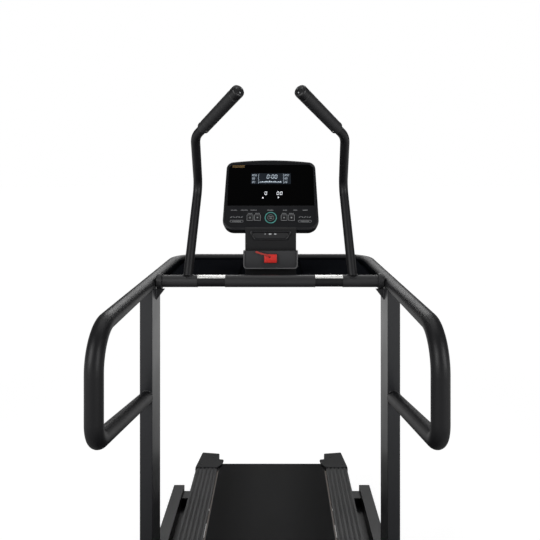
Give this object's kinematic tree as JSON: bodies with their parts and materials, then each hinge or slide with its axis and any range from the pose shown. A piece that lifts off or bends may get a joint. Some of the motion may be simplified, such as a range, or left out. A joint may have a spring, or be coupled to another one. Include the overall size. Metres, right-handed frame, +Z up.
{
  "type": "incline climber treadmill",
  "caption": "Incline climbing machine with a running belt deck, looped handrails, tall horn grips and a console on a short neck.",
  "frame": {"origin": "on the floor under the middle of the machine", "axes": "+X to the user's right, +Y forward as the user faces the console, +Z up"},
  "size_m": [0.944, 1.5477, 1.8889],
  "materials": {
    "frame_paint": "satin powder coat, charcoal",
    "rail_paint": "satin black powder coat",
    "sensor_steel": "polished stainless steel",
    "sleeve_rubber": "fine matt rubber sleeve",
    "grip_rubber": "soft matt rubber",
    "button_light": "light grey button plastic",
    "shell_plastic": "fine textured dark grey moulding",
    "bezel_plastic": "satin dark grey moulding",
    "lens": "smoked gloss lens",
    "display": "display module",
    "key_plastic": "key caps with pale outlines",
    "start_plastic": "start key with teal ring",
    "safety_red": "red moulding",
    "tray_plastic": "textured dark moulding",
    "belt_rubber": "diamond textured running belt",
    "deck_wood": "waxed running board",
    "foot_alloy": "dark anodised ribbed extrusion",
    "cap_plastic": "textured grey moulding",
    "bare_steel": "zinc plated steel",
    "roller_steel": "turned steel",
    "motor_paint": "black enamel",
    "flywheel_iron": "machined cast iron",
    "cushion_rubber": "moulded rubber",
    "wheel_plastic": "nylon wheel",
    "foot_rubber": "moulded rubber foot"
  },
  "bodies": {
    "frame": {"base_rail_left": "frame_paint", "base_rail_right": "frame_paint", "base_crossmembers": "frame_paint", "leveling_feet": "foot_rubber", "upright_left": "frame_paint", "upright_right": "frame_paint", "handrail_left": "rail_paint", "handrail_right": "rail_paint", "front_rail": "rail_paint", "pulse_bar": "rail_paint", "bar_sleeves": "sleeve_rubber", "pulse_sensors": "sensor_steel", "accessory_tray": "tray_plastic", "horn_left": "rail_paint", "horn_right": "rail_paint", "horn_grip_left": "grip_rubber", "horn_grip_right": "grip_rubber", "console_back": "shell_plastic", "console_bezel": "bezel_plastic", "console_glass": "lens", "console_display": "display", "neck_mast": "frame_paint", "neck_cover": "shell_plastic", "key_shelf": "shell_plastic", "power_inlet": "cap_plastic", "frame_bolts": "bare_steel"},
    "deck": {"deck_beams": "frame_paint", "deck_crossmembers": "frame_paint", "deck_board": "deck_wood", "deck_cushions": "cushion_rubber", "running_belt": "belt_rubber", "foot_rail_left": "foot_alloy", "foot_rail_right": "foot_alloy", "front_caps": "cap_plastic", "rear_caps": "cap_plastic", "deck_axles": "bare_steel", "drive_motor": "motor_paint", "drive_belt": "belt_rubber", "motor_cover": "cap_plastic", "actuator_body": "motor_paint"},
    "front_roller": {"front_roller": "roller_steel"},
    "rear_roller": {"rear_roller": "roller_steel"},
    "motor_shaft": {"motor_pulley": "flywheel_iron"},
    "lift": {"lift_frame": "frame_paint"},
    "lift_wheel_set": {"lift_wheels": "wheel_plastic"},
    "lift_rod": {"actuator_rod": "bare_steel"},
    "safety_key": {"safety_key": "safety_red"},
    "start_key": {"key_start": "start_plastic"},
    "mode_key": {"key_mode": "key_plastic"},
    "down_key": {"key_down": "key_plastic"},
    "up_key": {"key_up": "key_plastic"},
    "stop_key": {"key_stop": "key_plastic"},
    "rocker": {"power_switch": "button_light"},
    "grip_button_1_left": {"grip_button_1_left": "button_light"},
    "grip_button_2_left": {"grip_button_2_left": "button_light"},
    "grip_button_3_left": {"grip_button_3_left": "button_light"},
    "grip_button_1_right": {"grip_button_1_right": "button_light"},
    "grip_button_2_right": {"grip_button_2_right": "button_light"},
    "grip_button_3_right": {"grip_button_3_right": "button_light"}
  },
  "joints": [
    {"name": "deck_incline", "type": "hinge", "parent": "frame", "child": "deck", "pos_m": [0, -0.65, 0.095], "axis": [1, 0, 0], "range_deg": [0, 22]},
    {"name": "lift_swing", "type": "hinge", "parent": "deck", "child": "lift", "pos_m": [0, -0.05, 0.1], "axis": [1, 0, 0], "range_deg": [-43, 0]},
    {"name": "lift_rod_slide", "type": "slide", "parent": "deck", "child": "lift_rod", "axis": [0, -1, 0], "range_m": [0, 0.0443]},
    {"name": "lift_wheel_spin", "type": "hinge", "parent": "lift", "child": "lift_wheel_set", "pos_m": [0, 0.58814, 0.0513], "axis": [1, 0, 0], "continuous": true},
    {"name": "front_roller_spin", "type": "hinge", "parent": "deck", "child": "front_roller", "pos_m": [0, 0.673, 0.188], "axis": [1, 0, 0], "continuous": true},
    {"name": "rear_roller_spin", "type": "hinge", "parent": "deck", "child": "rear_roller", "pos_m": [0, -0.69, 0.188], "axis": [1, 0, 0], "continuous": true},
    {"name": "motor_spin", "type": "hinge", "parent": "deck", "child": "motor_shaft", "pos_m": [0, 0.56, 0.087], "axis": [1, 0, 0], "continuous": true},
    {"name": "safety_key_pull", "type": "slide", "parent": "frame", "child": "safety_key", "axis": [0, -1, 0], "range_m": [0, 0.02]},
    {"name": "power_rocker", "type": "hinge", "parent": "frame", "child": "rocker", "pos_m": [-0.238, 0.7665, 0.041], "axis": [1, 0, 0], "range_deg": [-10, 10]},
    {"name": "start_press", "type": "slide", "parent": "frame", "child": "start_key", "axis": [0, 0.9026, -0.4305], "range_m": [0, 0.001], "stiffness_N_per_m": 800, "springref_m": -0.001},
    {"name": "mode_press", "type": "slide", "parent": "frame", "child": "mode_key", "axis": [0, 0.9026, -0.4305], "range_m": [0, 0.001], "stiffness_N_per_m": 800, "springref_m": -0.001},
    {"name": "down_press", "type": "slide", "parent": "frame", "child": "down_key", "axis": [0, 0.9026, -0.4305], "range_m": [0, 0.001], "stiffness_N_per_m": 800, "springref_m": -0.001},
    {"name": "up_press", "type": "slide", "parent": "frame", "child": "up_key", "axis": [0, 0.9026, -0.4305], "range_m": [0, 0.001], "stiffness_N_per_m": 800, "springref_m": -0.001},
    {"name": "stop_press", "type": "slide", "parent": "frame", "child": "stop_key", "axis": [0, 0.9026, -0.4305], "range_m": [0, 0.001], "stiffness_N_per_m": 800, "springref_m": -0.001},
    {"name": "grip_button_1_left_press", "type": "slide", "parent": "frame", "child": "grip_button_1_left", "axis": [-0.5427, 0.7287, -0.4177], "range_m": [0, 0.0012], "stiffness_N_per_m": 600, "springref_m": -0.001},
    {"name": "grip_button_2_left_press", "type": "slide", "parent": "frame", "child": "grip_button_2_left", "axis": [-0.5427, 0.7287, -0.4177], "range_m": [0, 0.0012], "stiffness_N_per_m": 600, "springref_m": -0.001},
    {"name": "grip_button_3_left_press", "type": "slide", "parent": "frame", "child": "grip_button_3_left", "axis": [-0.5427, 0.7287, -0.4177], "range_m": [0, 0.0012], "stiffness_N_per_m": 600, "springref_m": -0.001},
    {"name": "grip_button_1_right_press", "type": "slide", "parent": "frame", "child": "grip_button_1_right", "axis": [0.5427, 0.7287, -0.4177], "range_m": [0, 0.0012], "stiffness_N_per_m": 600, "springref_m": -0.001},
    {"name": "grip_button_2_right_press", "type": "slide", "parent": "frame", "child": "grip_button_2_right", "axis": [0.5427, 0.7287, -0.4177], "range_m": [0, 0.0012], "stiffness_N_per_m": 600, "springref_m": -0.001},
    {"name": "grip_button_3_right_press", "type": "slide", "parent": "frame", "child": "grip_button_3_right", "axis": [0.5427, 0.7287, -0.4177], "range_m": [0, 0.0012], "stiffness_N_per_m": 600, "springref_m": -0.001}
  ],
  "couplings": [
    {"joint": "lift_swing", "follows": "deck_incline", "ratio": -1.9469},
    {"joint": "lift_rod_slide", "follows": "deck_incline", "m_per_rad": 0.11411},
    {"joint": "motor_spin", "follows": "front_roller_spin", "ratio": 1.5},
    {"joint": "rear_roller_spin", "follows": "front_roller_spin", "ratio": 1}
  ]
}
